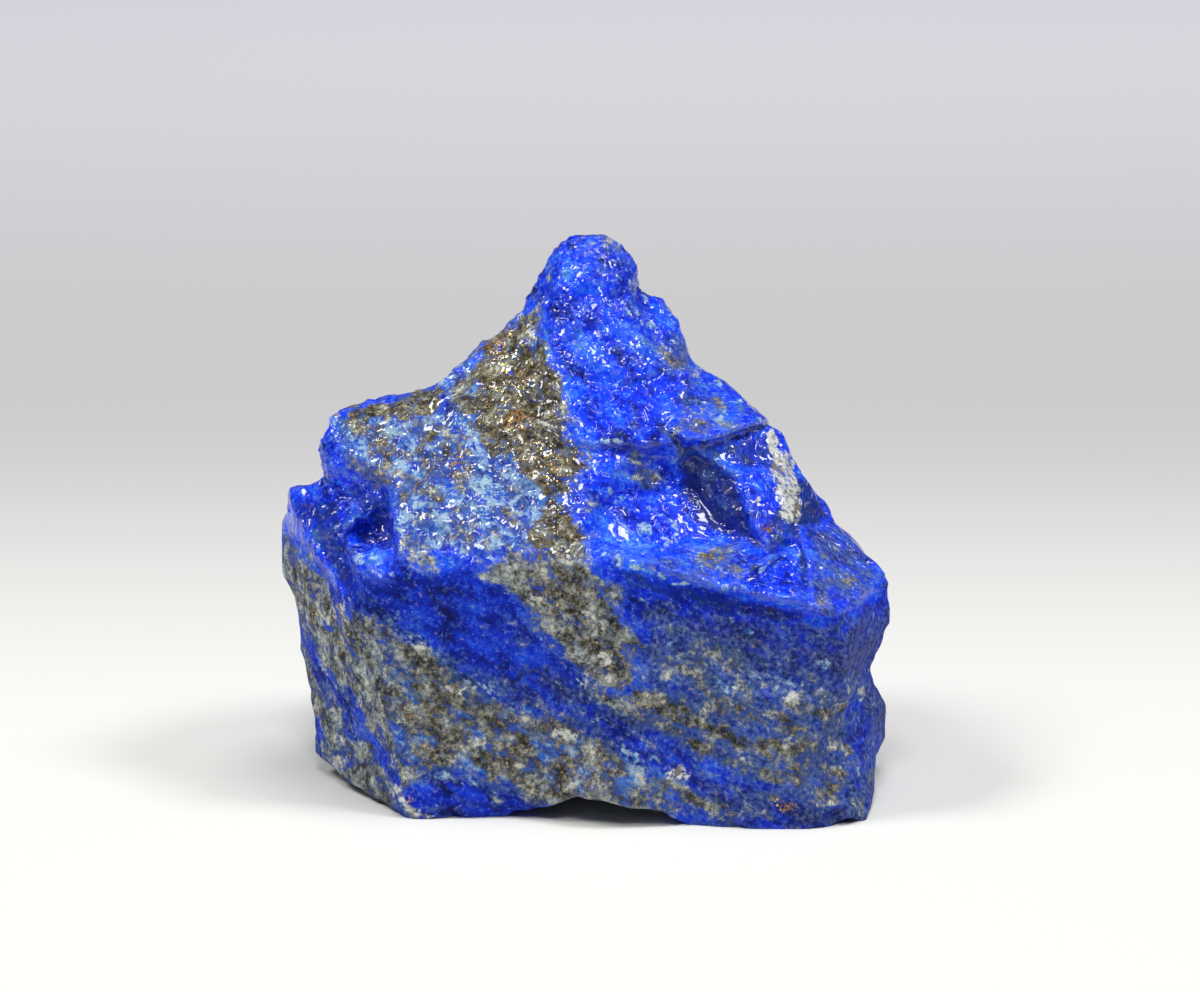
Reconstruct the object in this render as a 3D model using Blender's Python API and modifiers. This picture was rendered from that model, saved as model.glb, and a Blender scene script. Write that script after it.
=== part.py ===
"""One piece of rough lapis lazuli: a broken stone about 50 mm wide, 36 mm deep and 44 mm high.

It is one natural piece, so it is one solid. The stone is built the way it broke: angular blocks that
overlap make its slopes, knob and ledges, a few cuts make its hollows, and finer relief roughens it all.

The tables give corners in millimetres, x to the right, y to the back and z up. The scene is in metres,
with the origin under the middle of the finished stone, on the surface that it rests on.
"""

import bmesh
import bpy
import numpy as np
from mathutils import Vector

MM = 0.001

# The skin that joins the blocks, and how far its sharpest edges are worn back
SKIN_CELL = 0.5
WORN_PASSES = 3
WORN_SHARE = 0.5

# Relief of the broken surface: name, texture, spacing and height of the lumps
RELIEF = (
    ("swell", "CLOUDS", 7.0, 1.3),
    ("chip", "VORONOI", 3.2, 0.4),
    ("grain", "CLOUDS", 1.8, 0.3),
)

# The lowest lumps are ground off at this height, which leaves the flat spots that it rests on
REST_HEIGHT = 0.35
MOST_TRIANGLES = 9400

ULTRAMARINE = (0.012, 0.045, 0.42, 1.0)
STONE_ROUGHNESS = 0.42

# The body: a steep front, a left side that leans in to the base, and a back that falls away
BODY_BLOCKS = {
    "trunk": (
        (-14.5, -15.5, 0), (0, -17, 0), (16, -19.5, 0), (21, -13.5, 0), (21, 3, 1.5),
        (12, 13, 1), (4, 16, 0), (-7, 15, 0.5), (-17, 5, 1.5), (-21, -4.5, 1), (-23, -4, 2),
        (-24.5, -3, 7), (-25.5, -1.5, 12.5), (-26.5, 0, 18.5), (-26.5, 0, 21), (-26, -2, 24.5),
        (-23, -2.5, 25), (-21, -4, 26), (-24, -6.5, 21.5), (-21.5, -8.5, 22.5), (-20, -13, 17.5),
        (-9.5, -14.5, 21.5), (-1, -15, 22), (8, -16, 20), (17, -16.5, 18), (20, -15, 16.5),
        (23, -8, 14), (21, 5, 14), (11, 14, 15), (-2, 17, 9), (-14, 12, 19), (-22, 6, 20),
    ),
    "back": (
        (-6, 9, 37.5), (3, 9.5, 38.5), (8, 9, 31), (14, 9.5, 25), (-14, 10, 28.5), (-20, 6, 27),
        (-11, 15, 19), (7, 15.5, 17), (0, 16, 7), (18, 7, 14), (-19, 7, 10), (-17, 1, 27),
        (-13, 3, 29.5), (-6, 4, 34), (6, 3.5, 33), (10, 2, 29.5), (14, 1, 26),
    ),
    # The upright edge of the front face on the left, which stands proud of the side
    "column": (
        (-21, -12, 23), (-20.5, -13, 21), (-19.5, -13.5, 17.5), (-18.5, -14, 15),
        (-16, -14.75, 10), (-14, -15, 6.5), (-10.5, -14.75, 14.5), (-9.5, -14.5, 21.5),
        (-16, -14, 22), (-17, -14, 21.5), (-21, -5, 21.5), (-12, -5, 21.5), (-17, -5, 12),
        (-10, -5, 8),
    ),
    # The bulge low on the right, below a shallow hollow
    "foot": (
        (20.5, -11, 9.5), (23, -5, 8), (23.5, -3.5, 5), (23.5, -3.5, 3), (22, -12, 0),
        (21.5, -15.5, 0), (19, -15.5, 7), (18.5, -17.5, 2), (19, 4, 14), (20.5, 0, 1), (12, 0, 1),
        (12, 0, 12),
    ),
}

# The left slope from the front edge to the ridge, and the saddle between it and the knob
SLOPE_BLOCKS = {
    "roof": (
        (-16.5, -13.5, 22), (-9.5, -14.5, 21.5), (-1, -15, 22.5), (-17, -6, 26), (-21, -4.5, 26),
        (-23, -3, 25.5), (-23.5, -2, 27.5), (-22.5, -1.5, 30), (-21, 0, 30.5), (-16, 1, 32),
        (-14, 1, 32.5), (-13, -0.5, 32.5), (-3.5, -3.5, 33.5), (-2, -7, 30), (-18, 9, 24),
        (-8, 12, 30), (0, 12, 10), (-15, -6, 10), (0, -8, 10),
    ),
    "saddle": (
        (-14, 1, 32.5), (-10.5, -1, 33), (-3.5, -4, 33), (-12, 2, 33.5), (-9, 3, 36),
        (-7.5, 3.5, 37), (-6, 4, 39), (-4.5, 0, 37.5), (-3.5, -1, 36), (-12, 9, 26), (-6, 12, 34),
        (-2, 0, 20), (-12, 0, 20), (-2, 10, 20),
    ),
}

# The knob at the top, the lobe at its right, and the smooth terrace at its foot
KNOB_BLOCKS = {
    "knob": (
        (-4.5, -4.5, 32), (0, -4.5, 32.5), (3.5, -4.5, 33.5), (4.5, -3.5, 34), (3.5, 3, 36.5),
        (-7.5, 3, 37), (-6.5, 4, 39), (-5, 4.5, 41.5), (-4, 5, 43), (-2.25, 5, 44.25),
        (0, 5, 44.25), (1.75, 5, 43.5), (3, 4.5, 42), (3.25, 4.5, 40), (-3.5, 1.5, 42), (1, 1.5, 42),
        (-2.5, -1.5, 37.5), (2, -1, 37.5), (-5, 10, 37.5), (2, 10, 39), (-6, -2, 15), (4, -2, 15),
        (4, 11, 15), (-7, 11, 15),
    ),
    "lobe": (
        (3.5, 4.5, 39.5), (5, 4, 39), (6.5, 3.5, 37.5), (7.5, 3, 34.5), (4.5, -0.5, 36),
        (3.5, -4, 33), (4.5, -3.5, 34), (7, -1, 34.5), (0, 5, 38.5), (0, -2, 33.5), (3, 10, 34),
        (7, 10, 29), (3, 10, 15), (7, 8, 15),
    ),
    "terrace": (
        (-3.5, -4, 33), (-2, -7.5, 30), (1.5, -8, 29.5), (4.5, -7.5, 29.5), (6.5, -7, 29.5),
        (7.5, -1, 34.5), (3.5, -4.5, 33), (0, -5, 32.5), (-3, 5, 15), (6, 5, 15), (6, 10, 26),
        (-3, -4, 10), (7, -4, 10),
    ),
}

# The scoop under the terrace: its wall, its floor, the shelf in front and the steep facet at its right
SCOOP_BLOCKS = {
    "scoop_wall": (
        (-2, -7.5, 29.5), (1.5, -8, 29.5), (4.5, -7.5, 29), (7.5, -6, 28.5), (-1.5, -11, 25.5),
        (1.5, -9, 25), (5, -7, 25.5), (7.5, -6, 26), (-3, 0, 14), (8, 1, 14), (8, 2, 25),
        (-3, 2, 26),
    ),
    "scoop_floor": (
        (-1.5, -11, 25.5), (-1, -15, 22.5), (1.5, -9, 25), (5, -7, 25.5), (4, -11.5, 22.5),
        (8, -9, 22), (9, -7, 24.5), (11, -9, 22), (-2, 0, 12), (12, 0, 12), (2, 0, 23), (10, 0, 22),
    ),
    "shelf": (
        (-1, -15, 22.5), (1, -13.5, 22.5), (4, -11.5, 22.5), (8, -9, 22), (11, -9, 22),
        (14, -11.5, 21.5), (10.5, -16, 20), (7.5, -16, 20.5), (3.5, -15.5, 21.5), (0, -15, 22),
        (0, -4, 10), (14, -4, 10), (0, -12, 10), (12, -12, 10),
    ),
    "dark_facet": (
        (6.5, -6, 28.5), (8, -6, 28.5), (11.5, -7.5, 27), (12, -9, 24.5), (13.5, -11.5, 22),
        (11, -9, 22), (8, -7.5, 22), (7.5, -6, 26), (6, 0, 12), (14, 0, 12), (14, 2, 20),
        (6, 2, 24),
    ),
}

# The right side, from the lip beside the terrace down to the corner above the foot
RIGHT_BLOCKS = {
    "lip": (
        (7.5, 3, 34), (10.5, 2.5, 32.5), (12, 1.5, 31), (14, -0.5, 30), (14, -2.5, 30),
        (12, -5.5, 30), (8, -7.5, 29.5), (6.5, -7, 29.5), (6, -1.5, 33), (6, 9, 28), (12, 9, 22),
        (6, 0, 14), (12, 0, 14), (12, 6, 14),
    ),
    "right_slope": (
        (8, -6, 28.5), (11.5, -7.5, 27), (12, -9, 24.5), (13.5, -11.5, 22), (16.5, -9, 22.5),
        (19.5, -3.5, 22), (18, -2.5, 23.5), (16, -2.5, 27), (15, -2, 29), (14, -1.5, 29.5),
        (20, 2, 12), (14, 9, 20), (10, 7, 24), (6, -3, 10), (6, 8, 10), (14, -8, 10),
    ),
    "right_corner": (
        (16.5, -10.5, 22), (16.5, -9, 22.5), (19.5, -3.5, 22), (21.5, -4, 20), (23, -7, 18.5),
        (23.5, -8, 18), (22, -10.5, 18.5), (21, -13, 18), (19, -16, 17.5), (18.5, -16, 17.5),
        (17.5, -16.5, 18), (16.5, -15, 19), (20, -15, 16.5), (23.5, -8, 14.5), (20, 2, 14),
        (12, 0, 12), (12, -10, 8), (20, -6, 4),
    ),
    "small_prism": (
        (10.5, -16, 20), (12, -15, 20.5), (13.5, -13.5, 21), (14.5, -12.5, 22), (15.5, -12.5, 21.5),
        (16, -14, 21), (16.5, -16, 19.5), (16.5, -16.5, 18), (11.5, -16.5, 19), (10, -8, 12),
        (15, -8, 12), (13, -12, 6),
    ),
}

# Convex wedges that are cut away
WEDGE_CUTS = {
    # The hollow above the foot
    "side_hollow": (
        (25, -8, 13), (25, -8, 8.5), (22.5, -6, 10.5), (22, -13, 11.5), (24, -20, 15), (24, 2, 9),
        (23, 6, 6.5),
    ),
    # The low arch under the front face
    "arch": (
        (-13, -30, -0.5), (-7, -30, 1.2), (-2, -30, 2.2), (2, -30, 2.3), (5.5, -30, 1.2),
        (9, -30, -0.5), (-8, -6, -0.5), (-4, -6, 1), (0, -2, 0.5), (5, -6, 1), (8, -6, -0.5),
    ),
    # The open notch at the left end of the roof, behind the column
    "notch": (
        (-21.5, -5, 21.5), (-17, -7, 21.5), (-16.5, -20, 21.5), (-21.5, -20, 22.5), (-22, -4, 31),
        (-18, -6, 31), (-17.5, -20, 31), (-22, -20, 31),
    ),
    # The groove between the small prism and the right corner
    "groove": (
        (15.75, -13, 24), (16.75, -13, 24.25), (16.5, -7, 22.25), (16.5, -12.5, 20.25),
        (15.5, -20, 22.75), (17, -20, 22.75), (16.75, -16, 17.75), (16.25, -20, 18.25),
        (17, -20, 18.25),
    ),
    # The crack that undercuts the lip
    "crack": (
        (8, -9, 29.75), (8.25, -9, 29), (8.75, -4.75, 28.25), (13, -6, 30.5), (13.25, -6, 29.75),
        (13.25, 0, 28.75),
    ),
}

# Round hollows: centre and half-widths of each
ROUND_CUTS = {
    # The shell-like break under the terrace
    "scoop": ((4, -14.4, 26.3), (6.2, 6.4, 4.4)),
    # The underside is hollow, so the stone rests on its rim
    "underside": ((1, -1, -13.5), (17, 16, 15.5)),
}

# A lump left standing in the notch
NOTCH_LUMP = (
    (-21, -6.5, 24.5), (-18.5, -7, 24.5), (-20.5, -9.5, 24), (-19, -9, 24), (-21, -9.5, 22.5),
    (-18.5, -9, 23), (-21, -2, 20), (-18, -2, 20),
)


def clear_scene():
    """Removes every object that the scene starts with."""
    for obj in list(bpy.data.objects):
        bpy.data.objects.remove(obj)


def new_collection(name):
    """A collection linked to the scene."""
    collection = bpy.data.collections.new(name)
    bpy.context.scene.collection.children.link(collection)
    return collection


def stone_material():
    """Deep ultramarine stone with a dull gloss."""
    material = bpy.data.materials.new("lapis")
    material.use_nodes = True
    shader = material.node_tree.nodes["Principled BSDF"]
    shader.inputs["Base Color"].default_value = ULTRAMARINE
    shader.inputs["Roughness"].default_value = STONE_ROUGHNESS
    shader.inputs["Metallic"].default_value = 0.0
    material.diffuse_color = ULTRAMARINE
    return material


def helper(name, mesh, collection):
    """An object that only shapes the stone, so it is drawn as wire and never rendered."""
    obj = bpy.data.objects.new(name, mesh)
    obj.hide_render = True
    obj.display_type = "WIRE"
    collection.objects.link(obj)
    return obj


def convex_block(name, corners, collection):
    """The block whose corners these are: their convex hull."""
    shape = bmesh.new()
    for corner in corners:
        shape.verts.new(Vector(corner) * MM)
    hull = bmesh.ops.convex_hull(shape, input=shape.verts)
    left_over = set(hull["geom_interior"] + hull["geom_unused"])
    inner_points = [part for part in left_over if isinstance(part, bmesh.types.BMVert)]
    bmesh.ops.delete(shape, geom=inner_points, context="VERTS")
    bmesh.ops.recalc_face_normals(shape, faces=shape.faces)
    mesh = bpy.data.meshes.new(name)
    shape.to_mesh(mesh)
    shape.free()
    return helper(name, mesh, collection)


def rounded_cut(name, centre, half_widths, collection):
    """An ellipsoid, for the round hollows of a shell-like break."""
    shape = bmesh.new()
    bmesh.ops.create_uvsphere(shape, u_segments=40, v_segments=24, radius=1.0)
    bmesh.ops.scale(shape, vec=Vector(half_widths) * MM, verts=shape.verts)
    bmesh.ops.translate(shape, vec=Vector(centre) * MM, verts=shape.verts)
    mesh = bpy.data.meshes.new(name)
    shape.to_mesh(mesh)
    shape.free()
    return helper(name, mesh, collection)


def combine(stone, other, operation):
    """Adds another block to the stone, or cuts it away."""
    modifier = stone.modifiers.new(other.name, "BOOLEAN")
    modifier.operation = operation
    modifier.object = other
    modifier.solver = "EXACT"


def roughen(stone, name, texture_type, spacing, height):
    """Moves the skin in and out by half the height, in lumps this far apart."""
    texture = bpy.data.textures.new(name, texture_type)
    texture.noise_scale = spacing * MM
    modifier = stone.modifiers.new(name, "DISPLACE")
    modifier.texture = texture
    modifier.texture_coords = "LOCAL"
    modifier.strength = height * MM
    modifier.mid_level = 0.5


def evaluated_mesh(obj):
    """The object's mesh with its modifiers applied."""
    graph = bpy.context.evaluated_depsgraph_get()
    return bpy.data.meshes.new_from_object(obj.evaluated_get(graph))


def rough_mass(helpers):
    """The blocks joined, the hollows cut, and one skin drawn over them and roughened."""
    groups = (BODY_BLOCKS, SLOPE_BLOCKS, KNOB_BLOCKS, SCOOP_BLOCKS, RIGHT_BLOCKS)
    blocks = [
        convex_block(name, corners, helpers)
        for group in groups
        for name, corners in group.items()
    ]
    mass, others = blocks[0], blocks[1:]
    for block in others:
        combine(mass, block, "UNION")
    for name, corners in WEDGE_CUTS.items():
        combine(mass, convex_block(name, corners, helpers), "DIFFERENCE")
    for name, (centre, half_widths) in ROUND_CUTS.items():
        combine(mass, rounded_cut(name, centre, half_widths, helpers), "DIFFERENCE")
    combine(mass, convex_block("notch_lump", NOTCH_LUMP, helpers), "UNION")

    skin = mass.modifiers.new("skin", "REMESH")
    skin.mode = "VOXEL"
    skin.voxel_size = SKIN_CELL * MM
    worn = mass.modifiers.new("worn", "SMOOTH")
    worn.factor = WORN_SHARE
    worn.iterations = WORN_PASSES
    for name, texture_type, spacing, height in RELIEF:
        roughen(mass, name, texture_type, spacing, height)
    return mass


def rest_cut(helpers):
    """A slab under the stone whose top grinds its lowest lumps flat."""
    width = 80 * MM
    depth = 10 * MM
    shape = bmesh.new()
    bmesh.ops.create_cube(shape, size=1.0)
    bmesh.ops.scale(shape, vec=(width, width, depth), verts=shape.verts)
    bmesh.ops.translate(shape, vec=(0, 0, REST_HEIGHT * MM - depth / 2), verts=shape.verts)
    mesh = bpy.data.meshes.new("rest_cut")
    shape.to_mesh(mesh)
    shape.free()
    return helper("rest_cut", mesh, helpers)


def thinned(mesh, helpers):
    """The mesh with its triangles thinned out where the stone is flat, and its underside ground flat."""
    mesh.calc_loop_triangles()
    obj = helper("thinned", mesh, helpers)
    fewer = obj.modifiers.new("fewer", "DECIMATE")
    fewer.ratio = MOST_TRIANGLES / len(mesh.loop_triangles)
    combine(obj, rest_cut(helpers), "DIFFERENCE")
    return evaluated_mesh(obj)


def centre_on_origin(mesh):
    """Moves the mesh so that the middle of its underside is at the origin."""
    points = np.empty(len(mesh.vertices) * 3)
    mesh.vertices.foreach_get("co", points)
    points = points.reshape(-1, 3)
    low, high = points.min(axis=0), points.max(axis=0)
    points -= ((low[0] + high[0]) / 2, (low[1] + high[1]) / 2, low[2])
    mesh.vertices.foreach_set("co", points.ravel())
    mesh.update()


def even_triangles(mesh):
    """Splits the flat spots of the underside into even triangles rather than long thin ones."""
    shape = bmesh.new()
    shape.from_mesh(mesh)
    bmesh.ops.triangulate(shape, faces=shape.faces, quad_method="BEAUTY", ngon_method="BEAUTY")
    shape.to_mesh(mesh)
    shape.free()


def main():
    """Builds the stone."""
    clear_scene()
    stones = new_collection("rough_lapis_lazuli")
    helpers = new_collection("helpers")
    helpers.hide_render = True

    mesh = thinned(evaluated_mesh(rough_mass(helpers)), helpers)
    centre_on_origin(mesh)
    even_triangles(mesh)
    mesh.name = "lapis_stone"
    mesh.materials.clear()
    mesh.materials.append(stone_material())
    stones.objects.link(bpy.data.objects.new("lapis_stone", mesh))


main()
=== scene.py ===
"""Looks of a rough lapis lazuli stone: its broken skin, its blue, grey and golden colours and its wet gloss.

The stone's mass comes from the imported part. Lengths are in millimetres until a mesh is filled, and places on
the front are given where the camera sees them, in pixels of the 1200 by 992 picture.
"""

import itertools

import bmesh
import bpy
import numpy as np
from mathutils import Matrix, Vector


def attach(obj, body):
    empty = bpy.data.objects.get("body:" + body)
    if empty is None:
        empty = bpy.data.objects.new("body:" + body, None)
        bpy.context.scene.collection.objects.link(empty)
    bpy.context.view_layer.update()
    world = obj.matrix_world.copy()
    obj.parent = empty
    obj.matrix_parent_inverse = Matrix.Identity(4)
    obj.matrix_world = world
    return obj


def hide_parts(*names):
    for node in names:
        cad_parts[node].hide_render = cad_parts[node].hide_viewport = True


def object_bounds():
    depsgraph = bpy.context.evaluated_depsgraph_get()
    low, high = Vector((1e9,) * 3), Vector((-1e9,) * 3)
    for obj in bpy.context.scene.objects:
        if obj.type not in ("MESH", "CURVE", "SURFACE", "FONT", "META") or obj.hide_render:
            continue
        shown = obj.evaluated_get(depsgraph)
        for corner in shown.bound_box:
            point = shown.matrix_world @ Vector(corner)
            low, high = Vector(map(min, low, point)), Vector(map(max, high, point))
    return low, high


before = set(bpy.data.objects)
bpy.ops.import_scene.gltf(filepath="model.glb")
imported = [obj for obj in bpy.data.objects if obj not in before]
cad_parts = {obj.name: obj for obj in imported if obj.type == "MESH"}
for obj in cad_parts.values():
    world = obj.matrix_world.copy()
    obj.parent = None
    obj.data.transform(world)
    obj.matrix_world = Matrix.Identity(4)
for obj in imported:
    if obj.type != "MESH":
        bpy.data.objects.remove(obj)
packed_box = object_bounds()


# The camera: a long lens 450 mm from the stone, looking down at its front by 15 degrees. The stone's
# markings are placed by where they are seen through it, so it comes first. MM is a millimetre in metres.

MM = 0.001
PICTURE_WIDE = 1200
PICTURE_HIGH = 992
SENSOR_WIDE = 36.0
LENS = 162.0
VIEW_DISTANCE = 450.0
VIEW_TILT = np.radians(15)
VIEW_TARGET = np.array([1.345, 1.123, 22.75])
CLIP_NEAR = 10.0
CLIP_FAR = 10000.0
VIEW_AHEAD = np.array([0, np.cos(VIEW_TILT), -np.sin(VIEW_TILT)])
VIEW_UP = np.array([0, np.sin(VIEW_TILT), np.cos(VIEW_TILT)])
EYE = VIEW_TARGET - VIEW_DISTANCE * VIEW_AHEAD


def camera():
    """The scene's camera, at the eye point and turned along the view direction."""
    data = bpy.data.cameras.new("camera")
    data.lens = LENS
    data.sensor_width = SENSOR_WIDE
    data.clip_start = CLIP_NEAR * MM
    data.clip_end = CLIP_FAR * MM
    made = bpy.data.objects.new("camera", data)
    made.location = EYE * MM
    made.rotation_euler = Vector(VIEW_AHEAD).to_track_quat("-Z", "Y").to_euler()
    bpy.context.scene.collection.objects.link(made)
    bpy.context.scene.camera = made


def seen_at(points):
    """Where the camera sees each point: across and down the picture, in pixels. The distance across or up
    from the line of sight is divided by the depth along it and multiplied by the lens length in pixels."""
    offset = points - EYE
    size = LENS / SENSOR_WIDE * PICTURE_WIDE / (offset @ VIEW_AHEAD)
    across = PICTURE_WIDE / 2 + size * offset[:, 0]
    down = PICTURE_HIGH / 2 - size * (offset @ VIEW_UP)
    return np.stack([across, down], axis=1)


camera()


# The lapis stone: one broken lump of lazurite rock with calcite, grey diopside and pyrite in sloping layers.
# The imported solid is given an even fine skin, and each broken face gets the grain that the real one shows.

# The skin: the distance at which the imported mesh's doubles are merged, the cell that it is remeshed with, the
# rounds of smoothing after that, and the height under which a point is a foot and stands on the floor.
MERGE_DISTANCE = 0.001
SKIN_CELL = 0.295
SKIN_SMOOTHING = 2
FOOT_HEIGHT = 0.16

# The rock's layers: a line straight across them, and how many times longer than thick the layered grain
# and the finer fibres are.
LAYER_TILT = np.array([0.47, -0.36, 0.80])
LAYER_NORMAL = LAYER_TILT / np.linalg.norm(LAYER_TILT)
LAYER_THINNESS = 2.0
FIBRE_THINNESS = 3.2

# The scales that the grain is read at, which draw it out upright on the knob and level on the smooth faces,
# then the width of the seams between grains, in cells, and the mean that is taken from the scars.
UPRIGHT_GRAIN = (1, 1, 0.62)
LEVEL_GRAIN = (0.5, 1, 2.2)
GRAIN_SEAM = 0.7
SCAR_MEAN = 0.3

# Facets: the most that they move a point, the rounds that even this out, how far inside a facet the points
# lie that its plane is fitted to, and the fit's unit in pixels. Then how far noise shifts the edges of the
# facets and of the relief's faces, in pixels.
FACET_MOST_MOVE = 1.3
FACET_EVENING = 2
FACET_CORE = 0.6
FACET_UNIT = 100
FACET_RAGGED = 2.2
RELIEF_RAGGED = 3

# The near side ends at this depth from the camera, and fades over the width before it. The back's markings
# start at this distance behind the frame's middle, and come in full over the width behind it.
NEAR_SIDE_END = VIEW_DISTANCE + 6
NEAR_SIDE_SOFT = 4
BACK_START = -4
BACK_SOFT = 22

# How far the layers' noise shifts the markings, in pixels: on the front, and how much more at the back.
FRONT_DRIFT = 7
BACK_DRIFT = 40
FINE_DRIFT = 4
STEADY_DRIFT = 2.0
STEADY_FINE_DRIFT = 2.5

# Ramps of colour with their places from 0 to 1, then tints in pairs, of which the first shows where a share
# is 0 and the second where it is 1, and then single tints.
WET_BLUES = [
    (0.08, (0.002, 0.006, 0.11)), (0.28, (0.003, 0.016, 0.46)), (0.48, (0.005, 0.036, 0.92)),
    (0.72, (0.013, 0.100, 1.0)), (0.96, (0.10, 0.32, 1.0)),
]
MATTE_BLUES = [
    (0.08, (0.005, 0.009, 0.10)), (0.30, (0.006, 0.018, 0.30)), (0.50, (0.008, 0.032, 0.55)),
    (0.72, (0.016, 0.074, 0.70)), (0.95, (0.13, 0.25, 0.74)),
]
STONY_TONES = [
    (0.24, (0.012, 0.011, 0.010)), (0.38, (0.060, 0.056, 0.044)), (0.50, (0.17, 0.18, 0.165)),
    (0.62, (0.34, 0.37, 0.36)), (0.80, (0.68, 0.70, 0.65)),
]
OLIVE_TONES = [
    (0.24, (0.010, 0.008, 0.005)), (0.40, (0.050, 0.038, 0.016)), (0.53, (0.128, 0.106, 0.057)),
    (0.66, (0.25, 0.245, 0.175)), (0.82, (0.60, 0.63, 0.56)),
]
FROSTS = ((0.09, 0.20, 0.60), (0.045, 0.34, 1.0))
DULL_BLUES = ((0.018, 0.030, 0.115), (0.105, 0.140, 0.27))
NAVIES = ((0.005, 0.013, 0.085), (0.030, 0.032, 0.045))
SKIES = ((0.022, 0.13, 0.56), (0.44, 0.64, 0.72))
CALCITES = ((0.40, 0.43, 0.41), (0.74, 0.76, 0.71))
OCHRES = ((0.13, 0.060, 0.020), (0.50, 0.25, 0.065))
SLATE_BLUE = (0.075, 0.16, 0.40)
FRINGE_BLUE = (0.10, 0.21, 0.50)
BROWN_SPECK = (0.13, 0.105, 0.07)
PYRITE_GOLD = (0.72, 0.48, 0.15)
EDGE_BLUE = (0.30, 0.45, 0.85)

# The roughness of dry rock, how much smoother a wet face and a pyrite grain are, and the rock's own sheen.
# Then the roughness and the refractive index of the film of water.
DRY_ROUGHNESS = 0.62
WET_SMOOTHER = 0.30
PYRITE_SMOOTHER = 0.15
ROCK_SPECULAR = 0.09
FILM_ROUGHNESS = 0.045
FILM_IOR = 1.5

# The cells of the pyrite grains and of the knob's granules, and the height of the rock's and of the film's
# bumps, all in millimetres. Then the scale that the granules are read at, how round the film's folds are
# and how thin its beads.
PYRITE_CELL = 0.27
GRANULE_CELL = 0.74
ROCK_BUMP = 0.12
FILM_BUMP = 0.31
GRANULE_STRETCH = (1, 1, 0.6)
FOLD_ROUNDING = 0.008
BEAD_SHARPNESS = 330

# An edge shows in full where a point stands this far out from its neighbours, in millimetres.
EDGE_FULL = 0.06

# Whole numbers that scramble a lattice corner's place and seed into a repeatable value.
CORNER_PRIMES = (73856093, 19349663, 83492791)
FIRST_SCRAMBLE = np.uint64(0x9E3779B97F4A7C15)
SECOND_SCRAMBLE = np.uint64(0xBF58476D1CE4E5B9)
LOW_BITS = np.uint64(0xFFFFFF)


def ease(share):
    """0 below 0, 1 above 1, and 3s^2 - 2s^3 between them."""
    share = np.clip(share, 0, 1)
    return share * share * (3 - 2 * share)


def corner_value(corner, seed):
    """A repeatable number from 0 to 1 for each corner of the whole-number lattice: its three coordinates
    times three primes are combined bit by bit, then multiplied and folded twice."""
    scrambled = np.zeros(len(corner), np.uint64)
    for axis, prime in enumerate(CORNER_PRIMES):
        scrambled ^= corner[:, axis].astype(np.uint64) * np.uint64(prime)
    scrambled = (scrambled + np.uint64(seed)) * FIRST_SCRAMBLE
    scrambled = (scrambled ^ (scrambled >> np.uint64(29))) * SECOND_SCRAMBLE
    scrambled ^= scrambled >> np.uint64(32)
    return (scrambled & LOW_BITS).astype(float) / LOW_BITS


def smooth_noise(points, cell, seed):
    """Noise from -1 to 1: the values of the eight corners round each point, blended by the share of the
    cell passed, s, through 6s^5 - 15s^4 + 10s^3 along each axis."""
    scaled = points / cell
    corner = np.floor(scaled)
    share = scaled - corner
    blend = share**3 * (share * (share * 6 - 15) + 10)
    corner = corner.astype(np.int64)
    total = np.zeros(len(points))
    for step in itertools.product((0, 1), repeat=3):
        weight = np.prod(np.where(step, blend, 1 - blend), axis=1)
        total += weight * corner_value(corner + np.array(step), seed)
    return 2 * total - 1


def rough_noise(points, cell, octaves, seed):
    """Smooth noise added to itself at half the cell and half the size, octave by octave."""
    total = np.zeros(len(points))
    for octave in range(octaves):
        total += smooth_noise(points, cell / 2**octave, seed + octave) / 2**octave
    return total


def ragged(points, cell, octaves, seeds):
    """Two rough noises side by side, as shifts across and down the picture that make clean lines ragged."""
    return np.stack([rough_noise(points, cell, octaves, seed) for seed in seeds], axis=1)


def scattered(points, cell, seed):
    """Distances, in cells, from each point to the nearest and to the second nearest of the centres set at
    random, one in each lattice cell."""
    scaled = points / cell
    home = np.floor(scaled).astype(np.int64)
    nearest = np.full(len(points), np.inf)
    second = np.full(len(points), np.inf)
    for step in itertools.product((-1, 0, 1), repeat=3):
        cell_corner = home + np.array(step)
        random = [corner_value(cell_corner, seed + axis) for axis in range(3)]
        away = np.linalg.norm(scaled - cell_corner - np.stack(random, axis=1), axis=1)
        second = np.minimum(second, np.maximum(nearest, away))
        nearest = np.minimum(nearest, away)
    return nearest, second


def grains(points, cell, seed):
    """Rounded grains packed side by side, 1 at a grain's middle and 0 in the seams: the second nearest
    centre's distance less the nearest's, eased over the seam's width."""
    nearest, second = scattered(points, cell, seed)
    return ease((second - nearest) / GRAIN_SEAM)


def scars(points, cell, seed):
    """Hollow chip scars that meet in sharp ridges: the squared distance to the nearest centre, less its
    mean."""
    nearest, _ = scattered(points, cell, seed)
    return nearest**2 - SCAR_MEAN


def along_layers(points):
    """The points drawn out across the layers, so that noise read there comes out long and thin along them:
    each point moves along the layers' normal by its own distance along it, times the thinness less one."""
    return points + (LAYER_THINNESS - 1) * (points @ LAYER_NORMAL)[:, None] * LAYER_NORMAL


def facing_view(normals, start, soft):
    """From 0 to 1 as a surface turns to the camera: how far its normal points back along the line of sight,
    less the start, eased over the soft width."""
    return ease((-normals @ VIEW_AHEAD - start) / soft)


def near_side(points):
    """1 on the stone's near side and 0 behind it: what is left of the depth to the near side's end, eased
    over its soft width."""
    return ease((NEAR_SIDE_END - (points - EYE) @ VIEW_AHEAD) / NEAR_SIDE_SOFT)


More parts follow.
